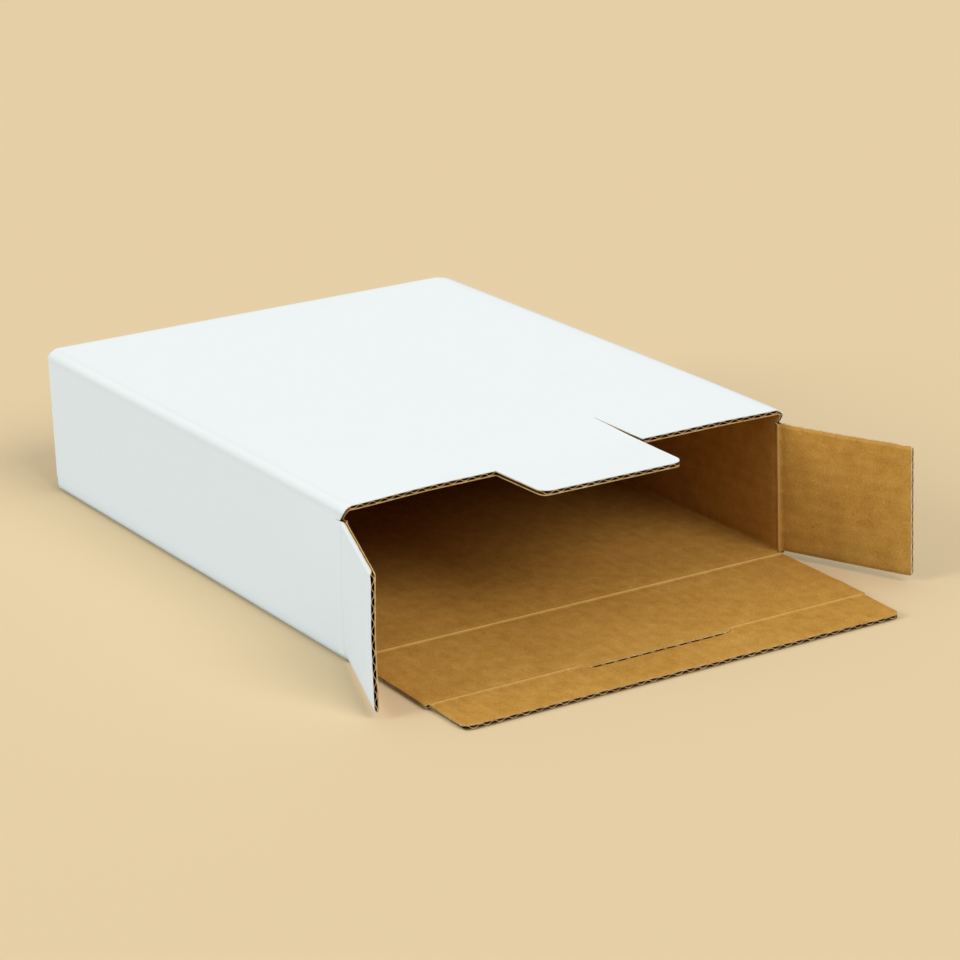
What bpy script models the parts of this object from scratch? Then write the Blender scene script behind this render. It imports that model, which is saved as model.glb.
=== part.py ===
"""Corrugated mailer: one die-cut sheet folded to a flat sleeve, shut at the back and open in front.

Metres, +Z up. The origin is the middle of the sleeve's footprint on the floor.
X runs across the mouth, which faces -Y. The longest extent is along Y.
"""
import math

import bmesh
import bpy
from mathutils import Matrix

# Board
BOARD = 0.0030
FOLD_RADIUS = 0.0040
CLEARANCE = 0.0003
FOLD_GAPE = 0.0007
ARC_STEPS = 5
NOSE_STEPS = 8
OVERRUN = 0.0050
WELD = 0.000001
GRID = 0.000001
SINK = 0.0005

# Cells of the fluted medium, open where a cut runs across the flutes
FLUTE_PITCH = 0.0064
FLUTE_DEPTH = 0.0016
LINER = 0.0004
FLUTE_WALL = 0.0005
FLUTE_CREST = 0.0008

# Sleeve
WIDTH = 0.2340
DEPTH = 0.3080
HEIGHT = 0.0730

# Closure panel and its tuck strip
CLOSURE_INSET = 0.0025
TUCK_ROOT_INSET = 0.0015
TUCK_EDGE_INSET = 0.0020
TUCK_REACH = 0.0290
TUCK_PLAY = 0.0005
TUCK_CORNER = 0.0045
CLOSURE_CORNER = 0.0012

# Locking tongue and the slit that takes it
TONGUE_WIDTH = 0.0766
TONGUE_OUT = 0.0375
TONGUE_CUT = 0.0400
TONGUE_CORNER = 0.0055
TONGUE_DROOP = math.radians(0.5)
SIDE_SLIT = 0.0005
LOCK_SLIT = 0.0009
LOCK_SLIT_LENGTH = 0.0790
LOCK_SLIT_OFFSET = 0.0035
LOCK_TICK = 0.0030
LOCK_TICK_TURN = math.radians(38.0)

# Dust flaps
DUST_REACH = 0.0700
DUST_PLAY = 0.0005
DUST_TOP_PLAY = 0.0010
DUST_TOP_CORNER = 0.0050
DUST_LOW_CORNER = 0.0015
LEFT_SPLAY = math.radians(19.0)
RIGHT_SPLAY = math.radians(22.0)

# Glued lap inside the left wall
LAP_HEIGHT = 0.0330
LAP_INSET = 0.0100
LAP_TAPER = 0.0070

# Places worked out from the sizes
HALF_WIDTH = WIDTH / 2
FRONT_Y = -DEPTH / 2
BACK_Y = DEPTH / 2
HALF_BOARD = BOARD / 2
INNER_RADIUS = FOLD_RADIUS - BOARD
HINGE_SETBACK = HALF_BOARD + CLEARANCE
CLOSURE_WIDTH = WIDTH - CLOSURE_INSET - CLOSURE_INSET
TUCK_ROOT_WIDTH = CLOSURE_WIDTH - TUCK_ROOT_INSET - TUCK_ROOT_INSET
TUCK_EDGE_WIDTH = CLOSURE_WIDTH - TUCK_EDGE_INSET - TUCK_EDGE_INSET
CLOSURE_AXIS_Y = FRONT_Y - HINGE_SETBACK
CLOSURE_AXIS_Z = HALF_BOARD
CLOSURE_REACH = HEIGHT - BOARD - TUCK_PLAY - BOARD
TUCK_AXIS_Y = CLOSURE_AXIS_Y - CLOSURE_REACH
DUST_AXIS_X = HALF_WIDTH - HALF_BOARD
DUST_AXIS_Y = FRONT_Y + HALF_BOARD
DUST_LOW = BOARD + DUST_PLAY
DUST_TOP = HEIGHT - BOARD - TUCK_PLAY - BOARD - DUST_TOP_PLAY
TONGUE_AXIS_Y = FRONT_Y + TONGUE_CUT
TONGUE_AXIS_Z = HEIGHT - HALF_BOARD
TONGUE_REACH = TONGUE_CUT + TONGUE_OUT

# The shut end is the mouth's closure turned over
END_AXIS_Y = BACK_Y - HALF_BOARD
END_BEND_Y = BACK_Y - FOLD_RADIUS
END_TOP_BEND_Z = HEIGHT - FOLD_RADIUS
END_LOW_BEND_Z = BOARD + TUCK_PLAY + FOLD_RADIUS
END_DUST_OUT_Y = BACK_Y - BOARD - TUCK_PLAY
END_DUST_IN_Y = END_DUST_OUT_Y - BOARD
SLEEVE_BACK_Y = END_DUST_OUT_Y - FOLD_RADIUS
END_TONGUE_Y = END_DUST_OUT_Y
END_TONGUE_RISE = TONGUE_REACH - (SLEEVE_BACK_Y - (END_DUST_OUT_Y - TONGUE_CUT)) - FOLD_RADIUS

WHITE = (0.83, 0.87, 0.86, 1.0)
BROWN = (0.46, 0.30, 0.12, 1.0)
PAPER_ROUGHNESS = 0.85
NO_METAL = 0.0


def arc(centre_u, centre_v, radius, start, end, steps):
    """Points on an arc, angles in degrees."""
    points = []
    for step in range(steps + 1):
        angle = math.radians(start + (end - start) * step / steps)
        points.append((centre_u + radius * math.cos(angle), centre_v + radius * math.sin(angle)))
    return points


def clean(mesh):
    """Weld a mesh and face it outwards."""
    work = bmesh.new()
    work.from_mesh(mesh)
    bmesh.ops.remove_doubles(work, verts=work.verts, dist=WELD)
    bmesh.ops.recalc_face_normals(work, faces=work.faces)
    work.to_mesh(mesh)
    work.free()


def place(mesh, matrix):
    """Move a mesh and snap it to the grid, so that faces that should meet do."""
    mesh.transform(matrix)
    for vert in mesh.vertices:
        vert.co = [round(value / GRID) * GRID for value in vert.co]


def extruded(name, outlines, half_depth, matrix):
    """A flat outline, with any holes, given a depth and turned into place."""
    curve = bpy.data.curves.new(name, "CURVE")
    curve.dimensions = "2D"
    curve.fill_mode = "BOTH"
    curve.extrude = half_depth
    for outline in outlines:
        spline = curve.splines.new("POLY")
        spline.points.add(len(outline) - 1)
        spline.use_cyclic_u = True
        for point, (u, v) in zip(spline.points, outline):
            point.co = (u, v, 0.0, 1.0)
    holder = bpy.data.objects.new(name, curve)
    bpy.context.scene.collection.objects.link(holder)
    graph = bpy.context.evaluated_depsgraph_get()
    mesh = bpy.data.meshes.new_from_object(holder.evaluated_get(graph))
    bpy.data.objects.remove(holder)
    bpy.data.curves.remove(curve)
    clean(mesh)
    place(mesh, matrix)
    piece = bpy.data.objects.new(name, mesh)
    bpy.context.scene.collection.objects.link(piece)
    return piece


def block(name, low, high):
    """A box between two corners."""
    mesh = bpy.data.meshes.new(name)
    work = bmesh.new()
    bmesh.ops.create_cube(work, size=1.0)
    for vert in work.verts:
        for axis in range(3):
            middle = (low[axis] + high[axis]) / 2
            vert.co[axis] = middle + vert.co[axis] * (high[axis] - low[axis])
    work.to_mesh(mesh)
    work.free()
    place(mesh, Matrix.Identity(4))
    piece = bpy.data.objects.new(name, mesh)
    bpy.context.scene.collection.objects.link(piece)
    return piece


def combine(target, tools, operation):
    """Apply each tool to the target and remove the tool."""
    for tool in tools:
        step = target.modifiers.new(operation.lower(), "BOOLEAN")
        step.operation = operation
        step.solver = "EXACT"
        step.object = tool
        graph = bpy.context.evaluated_depsgraph_get()
        mesh = bpy.data.meshes.new_from_object(target.evaluated_get(graph))
        target.modifiers.remove(step)
        old = target.data
        target.data = mesh
        bpy.data.meshes.remove(old)
        bpy.data.objects.remove(tool)
    return target


def round_corners(piece, axis, reach, top_radius, low_radius):
    """Round the two free corners of a flap, as its die does."""
    work = bmesh.new()
    work.from_mesh(piece.data)
    for side, radius in ((1, top_radius), (-1, low_radius)):
        far = -reach + BOARD
        corners = []
        for edge in work.edges:
            a, b = edge.verts
            across = abs(a.co[axis] - b.co[axis]) < WELD and abs(a.co.y - b.co.y) < BOARD
            at_end = a.co.y < far and a.co[axis] * side > 0
            if across and at_end:
                corners.append(edge)
        bmesh.ops.bevel(
            work, geom=corners, offset=radius, offset_type="OFFSET",
            segments=ARC_STEPS, profile=0.5, affect="EDGES", clamp_overlap=True)
    work.to_mesh(piece.data)
    work.free()


def board_section(reach, far_setback=0.0, gape=0.0):
    """Side view of a flap: a rounded fold at the axis and a cut edge at its reach.

    A gape slopes that edge back on the side that the next flap folds over.
    """
    nose = arc(0.0, 0.0, HALF_BOARD, 90.0, -90.0, NOSE_STEPS)
    end = -reach + far_setback
    return nose + [(end, -HALF_BOARD), (end + gape, HALF_BOARD)]


# Matrices that lay an outline's plane in the world: columns are where U, V and the depth go
SIDE_VIEW = Matrix(((0, 0, 1, 0), (1, 0, 0, 0), (0, 1, 0, 0), (0, 0, 0, 1)))
FRONT_VIEW = Matrix(((1, 0, 0, 0), (0, 0, -1, 0), (0, 1, 0, 0), (0, 0, 0, 1)))
PLAN_VIEW = Matrix.Identity(4)
FLAP_VIEW = Matrix(((0, 1, 0, 0), (0, 0, 1, 0), (1, 0, 0, 0), (0, 0, 0, 1)))


def shift(x, y, z):
    return Matrix.Translation((x, y, z))


def material(name, colour):
    surface = bpy.data.materials.new(name)
    surface.use_nodes = True
    shader = surface.node_tree.nodes["Principled BSDF"]
    shader.inputs["Base Color"].default_value = colour
    shader.inputs["Roughness"].default_value = PAPER_ROUGHNESS
    shader.inputs["Metallic"].default_value = NO_METAL
    return surface


def rounded_rectangle(half_width, low, high, radius):
    points = []
    points += arc(half_width - radius, low + radius, radius, -90.0, 0.0, ARC_STEPS)
    points += arc(half_width - radius, high - radius, radius, 0.0, 90.0, ARC_STEPS)
    points += arc(-half_width + radius, high - radius, radius, 90.0, 180.0, ARC_STEPS)
    points += arc(-half_width + radius, low + radius, radius, 180.0, 270.0, ARC_STEPS)
    return points


def sleeve():
    """The four panels folded round, open at both ends."""
    outer = rounded_rectangle(HALF_WIDTH, 0.0, HEIGHT, FOLD_RADIUS)
    inner = rounded_rectangle(HALF_WIDTH - BOARD, BOARD, HEIGHT - BOARD, INNER_RADIUS)
    middle = (FRONT_Y + SLEEVE_BACK_Y) / 2
    half = (SLEEVE_BACK_Y - FRONT_Y) / 2
    return extruded("carton", [outer, inner], half, shift(0, middle, 0) @ FRONT_VIEW)


def end_panel():
    """Folded down from the top panel, then forward as a tuck strip above the bottom panel."""
    start = SLEEVE_BACK_Y - SINK
    tip = END_AXIS_Y - TUCK_REACH
    low = END_LOW_BEND_Z - FOLD_RADIUS
    outline = [(start, HEIGHT)]
    outline += arc(END_BEND_Y, END_TOP_BEND_Z, FOLD_RADIUS, 90.0, 0.0, ARC_STEPS)
    outline += arc(END_BEND_Y, END_LOW_BEND_Z, FOLD_RADIUS, 0.0, -90.0, ARC_STEPS)
    outline += [(tip, low), (tip, low + BOARD)]
    outline += arc(END_BEND_Y, END_LOW_BEND_Z, INNER_RADIUS, -90.0, 0.0, ARC_STEPS)
    outline += arc(END_BEND_Y, END_TOP_BEND_Z, INNER_RADIUS, 0.0, 90.0, ARC_STEPS)
    outline += [(start, HEIGHT - BOARD)]
    return extruded("end_panel", [outline], CLOSURE_WIDTH / 2, SIDE_VIEW)


def end_dust_flap(side):
    """Folded in from a side wall, behind the end panel."""
    start = SLEEVE_BACK_Y - SINK
    bend_x = HALF_WIDTH - FOLD_RADIUS
    tip = DUST_AXIS_X - DUST_REACH
    outline = [(HALF_WIDTH, start)]
    outline += arc(bend_x, SLEEVE_BACK_Y, FOLD_RADIUS, 0.0, 90.0, ARC_STEPS)
    outline += [(tip, END_DUST_OUT_Y), (tip, END_DUST_IN_Y)]
    outline += arc(bend_x, SLEEVE_BACK_Y, INNER_RADIUS, 90.0, 0.0, ARC_STEPS)
    outline += [(HALF_WIDTH - BOARD, start)]
    placed = [(u * side, v) for u, v in outline]
    low = HEIGHT - DUST_TOP
    high = HEIGHT - DUST_LOW
    middle = (low + high) / 2
    return extruded("end_dust_flap", [placed], (high - low) / 2, shift(0, 0, middle) @ PLAN_VIEW)


def end_tongue():
    """The bottom panel's tongue, bent up through the end's tuck strip."""
    start = SLEEVE_BACK_Y - SINK
    top = FOLD_RADIUS + END_TONGUE_RISE
    outline = [(start, 0.0)]
    outline += arc(SLEEVE_BACK_Y, FOLD_RADIUS, FOLD_RADIUS, -90.0, 0.0, ARC_STEPS)
    outline += [(END_TONGUE_Y, top), (END_TONGUE_Y - BOARD, top)]
    outline += arc(SLEEVE_BACK_Y, FOLD_RADIUS, INNER_RADIUS, 0.0, -90.0, ARC_STEPS)
    outline += [(start, BOARD)]
    return extruded("end_tongue", [outline], TONGUE_WIDTH / 2, SIDE_VIEW)


def end_sill(side):
    """The bottom panel's back edge on one side of its tongue."""
    inner = TONGUE_WIDTH / 2 + SIDE_SLIT
    outer = CLOSURE_WIDTH / 2
    low_x, high_x = sorted((inner * side, outer * side))
    return block(
        "end_sill", (low_x, SLEEVE_BACK_Y - SINK, 0.0), (high_x, END_DUST_OUT_Y, BOARD))


def glue_lap():
    """The lap that closes the sleeve, glued inside the left wall."""
    wall = -HALF_WIDTH + BOARD
    piece = block(
        "glue_lap", (wall - SINK, FRONT_Y + LAP_INSET, BOARD - SINK),
        (wall + BOARD, SLEEVE_BACK_Y - LAP_INSET, BOARD + LAP_HEIGHT))
    work = bmesh.new()
    work.from_mesh(piece.data)
    corners = []
    for edge in work.edges:
        a, b = edge.verts
        if abs(a.co.y - b.co.y) < WELD and abs(a.co.z - b.co.z) < WELD and a.co.z > LAP_HEIGHT / 2:
            corners.append(edge)
    bmesh.ops.bevel(
        work, geom=corners, offset=LAP_TAPER, offset_type="OFFSET",
        segments=1, profile=0.5, affect="EDGES", clamp_overlap=True)
    work.to_mesh(piece.data)
    work.free()
    return piece


def flute_cells(low, high, matrix):
    """Cutter for the open cells along a cut edge: each is a flute seen from its end.

    Cells stand point up and point down by turns, with the slanting medium between them.
    """
    flutes = max(1, math.floor((high - low) / FLUTE_PITCH))
    spacing = (high - low) / (flutes + flutes)
    crest = FLUTE_CREST / 2
    root = spacing - FLUTE_WALL - crest
    inner = HALF_BOARD - LINER
    outlines = []
    for index in range(flutes + flutes):
        middle = low + spacing * (index + 1 / 2)
        point = inner if index % 2 else -inner
        outline = [(middle - root, -point), (middle + root, -point), (middle + crest, point), (middle - crest, point)]
        outlines.append(outline if index % 2 else outline[::-1])
    return extruded("flute_cells", outlines, FLUTE_DEPTH, matrix)


def wall_cut(side):
    """Takes a wall back to its dust flap's fold."""
    edge = DUST_AXIS_Y + HINGE_SETBACK
    ahead = FRONT_Y - OVERRUN
    outline = [
        (ahead, DUST_LOW - CLEARANCE), (edge, DUST_LOW - CLEARANCE), (edge, DUST_TOP + CLEARANCE),
        (FRONT_Y, HEIGHT - BOARD), (ahead, HEIGHT - BOARD)]
    inner = HALF_WIDTH - FOLD_RADIUS
    outer = HALF_WIDTH + OVERRUN
    middle = (inner + outer) / 2 * side
    return extruded("wall_cut", [outline], (outer - inner) / 2, shift(middle, 0, 0) @ SIDE_VIEW)


def carton():
    """Everything of the folded sheet that does not move."""
    body = sleeve()
    body = combine(
        body,
        [end_panel(), end_dust_flap(-1), end_dust_flap(1), end_tongue(), end_sill(-1), end_sill(1),
         glue_lap()],
        "UNION")
    half_tongue = TONGUE_WIDTH / 2
    tongue_room = half_tongue + SIDE_SLIT
    cuts = [wall_cut(-1), wall_cut(1)]
    cuts.append(block(
        "tongue_room", (-tongue_room, FRONT_Y - OVERRUN, HEIGHT - BOARD - SINK),
        (tongue_room, TONGUE_AXIS_Y + HINGE_SETBACK, HEIGHT + OVERRUN)))
    for side in (-1, 1):
        low_x, high_x = sorted((half_tongue * side, tongue_room * side))
        cuts.append(block(
            "end_slit", (low_x, END_DUST_OUT_Y - TONGUE_CUT, -OVERRUN),
            (high_x, END_DUST_OUT_Y, BOARD + CLEARANCE)))
    slot_half = LOCK_SLIT_LENGTH / 2
    cuts.append(block(
        "end_lock_slot", (-slot_half, END_TONGUE_Y - BOARD - CLEARANCE, BOARD + CLEARANCE),
        (-half_tongue, END_TONGUE_Y + CLEARANCE, END_LOW_BEND_Z)))
    cuts.append(block(
        "end_lock_slot", (half_tongue, END_TONGUE_Y - BOARD - CLEARANCE, BOARD + CLEARANCE),
        (slot_half, END_TONGUE_Y + CLEARANCE, END_LOW_BEND_Z)))
    top_edge = shift(0, FRONT_Y, TONGUE_AXIS_Z) @ FRONT_VIEW
    cuts.append(flute_cells(tongue_room + LINER, HALF_WIDTH - FOLD_RADIUS, top_edge))
    cuts.append(flute_cells(-HALF_WIDTH + FOLD_RADIUS, -tongue_room - LINER, top_edge))
    return combine(body, cuts, "DIFFERENCE")


def closure_panel():
    section = board_section(CLOSURE_REACH, HINGE_SETBACK, FOLD_GAPE)
    piece = extruded("closure_panel", [section], CLOSURE_WIDTH / 2, SIDE_VIEW)
    round_corners(piece, 0, CLOSURE_REACH - HINGE_SETBACK, CLOSURE_CORNER, CLOSURE_CORNER)
    piece.location = (0, CLOSURE_AXIS_Y, CLOSURE_AXIS_Z)
    return piece


def tuck_strip():
    section = board_section(TUCK_REACH)
    piece = extruded("tuck_strip", [section], TUCK_ROOT_WIDTH / 2, SIDE_VIEW)
    narrowing = TUCK_EDGE_WIDTH / TUCK_ROOT_WIDTH
    for vert in piece.data.vertices:
        if vert.co.y < -HALF_BOARD:
            vert.co.x *= narrowing
    round_corners(piece, 0, TUCK_REACH, TUCK_CORNER, TUCK_CORNER)
    half_slit = LOCK_SLIT / 2
    half_length = LOCK_SLIT_LENGTH / 2 - LOCK_TICK * math.cos(LOCK_TICK_TURN)
    cuts = [block(
        "lock_slit", (-half_length, -LOCK_SLIT_OFFSET - half_slit, -BOARD),
        (half_length, -LOCK_SLIT_OFFSET + half_slit, BOARD))]
    for side in (-1, 1):
        tick = block("lock_tick", (-half_slit, -half_slit, -BOARD), (LOCK_TICK, half_slit, BOARD))
        turn = LOCK_TICK_TURN if side > 0 else math.pi - LOCK_TICK_TURN
        tick.data.transform(shift(half_length * side, -LOCK_SLIT_OFFSET, 0) @ Matrix.Rotation(turn, 4, "Z"))
        cuts.append(tick)
    straight = TUCK_EDGE_WIDTH / 2 - TUCK_CORNER
    cuts.append(flute_cells(-straight, straight, shift(0, -TUCK_REACH, 0) @ FRONT_VIEW))
    combine(piece, cuts, "DIFFERENCE")
    piece.location = (0, TUCK_AXIS_Y, CLOSURE_AXIS_Z)
    return piece


def locking_tongue():
    section = board_section(TONGUE_REACH)
    piece = extruded("locking_tongue", [section], TONGUE_WIDTH / 2, SIDE_VIEW)
    round_corners(piece, 0, TONGUE_REACH, TONGUE_CORNER, TONGUE_CORNER)
    straight = TONGUE_WIDTH / 2 - TONGUE_CORNER
    cells = flute_cells(-straight, straight, shift(0, -TONGUE_REACH, 0) @ FRONT_VIEW)
    combine(piece, [cells], "DIFFERENCE")
    piece.location = (0, TONGUE_AXIS_Y, TONGUE_AXIS_Z)
    piece.rotation_euler = (TONGUE_DROOP, 0, 0)
    return piece


def dust_flap(name, side, splay):
    """A flap on a side wall: the fold stands along Z and the flap runs forward."""
    section = [(v, u) for u, v in board_section(DUST_REACH)]
    half_height = (DUST_TOP - DUST_LOW) / 2
    piece = extruded(name, [section], half_height, PLAN_VIEW)
    round_corners(piece, 2, DUST_REACH, DUST_TOP_CORNER, DUST_LOW_CORNER)
    cells = flute_cells(
        DUST_LOW_CORNER - half_height, half_height - DUST_TOP_CORNER,
        shift(0, -DUST_REACH, 0) @ FLAP_VIEW)
    combine(piece, [cells], "DIFFERENCE")
    piece.location = (DUST_AXIS_X * side, DUST_AXIS_Y, (DUST_TOP + DUST_LOW) / 2)
    piece.rotation_euler = (0, 0, splay * side)
    return piece


def build():
    for item in list(bpy.data.objects):
        bpy.data.objects.remove(item)
    parts = bpy.data.collections.new("corrugated_mailer_box")
    bpy.context.scene.collection.children.link(parts)
    pieces = [
        (carton(), WHITE),
        (closure_panel(), BROWN),
        (tuck_strip(), BROWN),
        (locking_tongue(), WHITE),
        (dust_flap("left_dust_flap", -1, LEFT_SPLAY), WHITE),
        (dust_flap("right_dust_flap", 1, RIGHT_SPLAY), BROWN),
    ]
    for piece, colour in pieces:
        piece.data.name = piece.name
        piece.data.materials.clear()
        piece.data.materials.append(material(piece.name, colour))
        bpy.context.scene.collection.objects.unlink(piece)
        parts.objects.link(piece)
        clean(piece.data)


build()
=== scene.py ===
"""Corrugated mailer lying on its wide face with its mouth open, dressed as real fluted board.

Every panel is three sheets, as in the real board: a white outer liner, a fluted
medium and a brown inner liner. Lengths are in metres, in the frame of the solids.
"""
import math
import bmesh
import bpy
from mathutils import Matrix, Vector, noise

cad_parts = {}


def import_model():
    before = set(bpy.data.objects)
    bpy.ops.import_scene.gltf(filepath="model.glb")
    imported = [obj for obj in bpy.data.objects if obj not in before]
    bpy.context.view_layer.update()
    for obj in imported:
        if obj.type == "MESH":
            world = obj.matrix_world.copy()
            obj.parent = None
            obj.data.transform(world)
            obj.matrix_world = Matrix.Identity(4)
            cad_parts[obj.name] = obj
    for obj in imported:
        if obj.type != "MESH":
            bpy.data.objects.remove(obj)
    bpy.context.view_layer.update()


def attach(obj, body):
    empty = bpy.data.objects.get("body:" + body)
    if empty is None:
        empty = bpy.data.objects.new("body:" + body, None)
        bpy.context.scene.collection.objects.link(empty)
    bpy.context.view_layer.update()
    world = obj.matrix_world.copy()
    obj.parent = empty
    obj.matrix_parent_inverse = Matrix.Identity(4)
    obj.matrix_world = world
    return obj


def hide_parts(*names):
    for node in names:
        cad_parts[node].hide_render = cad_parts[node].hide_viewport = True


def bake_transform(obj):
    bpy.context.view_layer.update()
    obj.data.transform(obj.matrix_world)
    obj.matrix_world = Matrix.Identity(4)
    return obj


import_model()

# Board
BOARD = 0.0030
HALF_BOARD = BOARD / 2
OUTER_LINER = 0.00032
INNER_LINER = 0.00050
MEDIUM = 0.00036
FOLD_RADIUS = 0.0040
MID_RADIUS = FOLD_RADIUS - HALF_BOARD
GAP = 0.0003
FLUTES_ROUND_SLEEVE = 94
CREST_FLATNESS = 1.7

# Sleeve
WIDTH = 0.2340
DEPTH = 0.3080
HEIGHT = 0.0730
FRONT = -DEPTH / 2
BACK = DEPTH / 2
SIDE = WIDTH / 2 - HALF_BOARD
SLEEVE_BACK = 0.1465

# Closure panel and tuck strip, as the solids have them
CLOSURE_HALF = 0.1145
CLOSURE_AXIS_Y = -0.1558
TUCK_AXIS_Y = -0.2223
TUCK_ROOT_HALF = 0.1130
TUCK_EDGE_HALF = 0.1125
TUCK_EDGE_Y = -0.2513
TUCK_CORNER = 0.0045
SLIT_HALF = 0.0395
SLIT_Y = TUCK_AXIS_Y - 0.0035
SLIT_WIDTH = 0.00028
SLIT_STRAIGHT = 0.0368
SLIT_HOOK = math.tan(math.radians(38.0))

# Locking tongue, as the solids have it
TONGUE_HALF = 0.0383
TONGUE_AXIS_Y = -0.1140
TONGUE_TIP_Y = -0.1915
TONGUE_CORNER = 0.0058
RIGHT_SLIT = 0.0005

# Dust flaps, as the solids have them, and half the width over which a crease bends
DUST_AXIS_Y = FRONT + HALF_BOARD
DUST_LOW = 0.0035
DUST_TOP = 0.0655
DUST_REACH = 0.06998
LEFT_SPLAY = math.radians(19.0)
RIGHT_SPLAY = math.radians(22.0)
DUST_BEND = 0.0014
WALL_FRONT = DUST_AXIS_Y + HALF_BOARD + GAP

# Shut end and glued lap
CORNER = 0.0078
END_PANEL_HALF = 0.1122
END_SILL = 0.1505
END_SLIT = 0.1105
END_TOP_BEND = 0.0035
END_LOW_BEND = 0.068927
END_PANEL_LENGTH = 0.099354
END_TONGUE_LENGTH = 0.0449
END_FLAP_LENGTH = 0.0714
LAP_TOP = 0.0360
LAP_INSET = 0.0100
LAP_TAPER = 0.0070
GLUE_LINE = 0.00005

# Where one piece of board is carried on by the next
CLOSURE_SEAM = -0.1490
STRIP_SEAM = -0.2180
WALL_SEAM = -0.1470

# Mesh: rows of the sleeve behind its front edge, how close columns, rows and the two marks of a
# step lie, and what counts as one point
FRONT_ROWS = (0.0, 0.002, 0.005, 0.009, 0.014, 0.021, 0.030, 0.042, 0.056, 0.075)
BACK_ROWS = (SLEEVE_BACK, 0.1480, 0.1490, END_SILL)
TIP_ROWS_REACH = 0.0055
SAMPLES_A_FLUTE = 10
LINER_SPACING = 0.0060
BEND_SPACING = 0.0008
FOLD_STEPS = 7
CRUSH_STEPS = 5
LOW_TURN = 0.0006
STEP = 0.000002
WELD = 0.0000005
UV_SCALE = 10.0
SHARP = math.radians(35.0)

# Creases: a raised bead between two troughs
BEAD_LIFT = 0.00042
BEAD_WIDTH = 0.0007
TROUGH_SHARE = 0.45
TROUGH_PLACE = 3 * BEAD_WIDTH
TROUGH_WIDTH = 1.6 * BEAD_WIDTH

# Cut edges: pinched across the flutes, crushed where the knife ran lengthwise through them
NIP_REACH = 0.0022
TOP_NIP = 0.0006
WALL_NIP = 0.0008
FOLD_NIP = 0.0003
FLAP_NIP = 0.0007
CRUSH_REACH = 0.0018
CRUSH_DEPTH = 0.0009
CRUSH_INNER_SHARE = 0.7
CRUSH_FADE = 0.006
DUST_CRUSH_FROM = WALL_SEAM - 0.0035
RAGGED = 0.00016
RAGGED_TONGUE = 0.00012
RAGGED_STRIP = 0.00042

# Folds and front edge of the sleeve, softly dented
GRIP_REACH = 0.0030
GRIP_INNER = 0.00016
GRIP_OUTER = 0.00010
EDGE_DENT = 0.00012
EDGE_DENT_REACH = 0.004

# How the handled box has given way at its mouth
SAG_DEPTH = 0.075
SAG_FROM, SAG_RISE = 0.058, 0.015
LEFT_SAG, LEFT_SAG_WIDTH = 0.0013, 0.050
RIGHT_SAG, RIGHT_SAG_WIDTH = 0.0006, 0.040
WALL_LEAN, WALL_LEAN_WIDTH = 0.0013, 0.030
LEAN_FROM, LEAN_RISE = 0.030, 0.040

# How the tongue hangs, narrows, closes its left slit and stands off its right one
TONGUE_SAG, TONGUE_SAG_REACH = 0.0010, 0.040
TONGUE_CURL, TONGUE_CURL_REACH = 0.0005, 0.037
TONGUE_LEFT_SHARE = 0.2
TONGUE_TAPER = 0.0014
LEFT_SLIT = 0.00008
SLIT_SPREAD = 0.0004

# How the closure and its strip lie and are worn
SKEW = 0.030
SIDE_FRAY, SIDE_FRAY_REACH = 0.00040, 0.003
DUST_FRAY, DUST_FRAY_REACH = 0.00042, 0.004
STRIP_BEAD_SHARE = 0.7
SLIT_BEAD_LOSS = 0.85
SLIT_SINK, SLIT_SINK_REACH = 0.0007, 0.0045
SINK_END, SINK_FADE = SLIT_HALF + 0.001, 0.010
SLIT_RIDGE, SLIT_RIDGE_REACH = 0.8 * BEAD_LIFT, 0.0009
RIDGE_END, RIDGE_FADE = SLIT_HALF + 0.002, 0.004
SLIT_WANDER = 0.00016
SLIT_DRAW = 0.0012
SLIT_FADE = 0.004
STRIP_EDGE_DENT, STRIP_EDGE_WEAR, STRIP_OUTER_DENT = 0.00030, 0.00035, 0.00040

# Camera, fitted to the edges of the box in the photograph
IMAGE_SIZE = 960.0
SENSOR = 36.0
CAMERA_FOCAL = 3476.6
CAMERA_TURN = -30.412
CAMERA_RISE = 18.048
CAMERA_ROLL = -2.169
CAMERA_PIXEL = (404.09, 520.62)
CAMERA_DISTANCE = 1.69212

# Floor as the camera sees it, and as it throws light back
FLOOR_HALF = 6.0
FLOOR_COLOUR = (0.77, 0.60, 0.37, 1.0)
FLOOR_BOUNCE = (0.42, 0.42, 0.40, 1.0)
LAMP_DISTANCE = 4.0

# Which of a piece's three materials a face has
FACE, CUT, HIDDEN = 0, 1, 2


def smooth(t):
    t = min(max(t, 0.0), 1.0)
    return t * t * (3.0 - 2.0 * t)


def fade(distance, width):
    """1 at no distance, falling softly to 0 at the width."""
    return smooth(1.0 - distance / width)


def wobble(x, y, scale, seed):
    """A repeatable soft random value, about -1 to 1."""
    return noise.noise(Vector((x / scale, y / scale, seed)))


def track(start, heading, bends):
    """A flat path of straights and arcs (from, to, angle), as place and heading at a distance."""
    def at(s):
        a, b = start
        angle, done = heading, 0.0
        for begin, end, total in bends:
            if s <= begin:
                break
            a += math.cos(angle) * (begin - done)
            b += math.sin(angle) * (begin - done)
            done = min(s, end)
            turn = total * (done - begin) / (end - begin)
            radius = (end - begin) / total
            a += radius * (math.sin(angle + turn) - math.sin(angle))
            b -= radius * (math.cos(angle + turn) - math.cos(angle))
            angle += turn
        return a + math.cos(angle) * (s - done), b + math.sin(angle) * (s - done), angle
    return at


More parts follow.
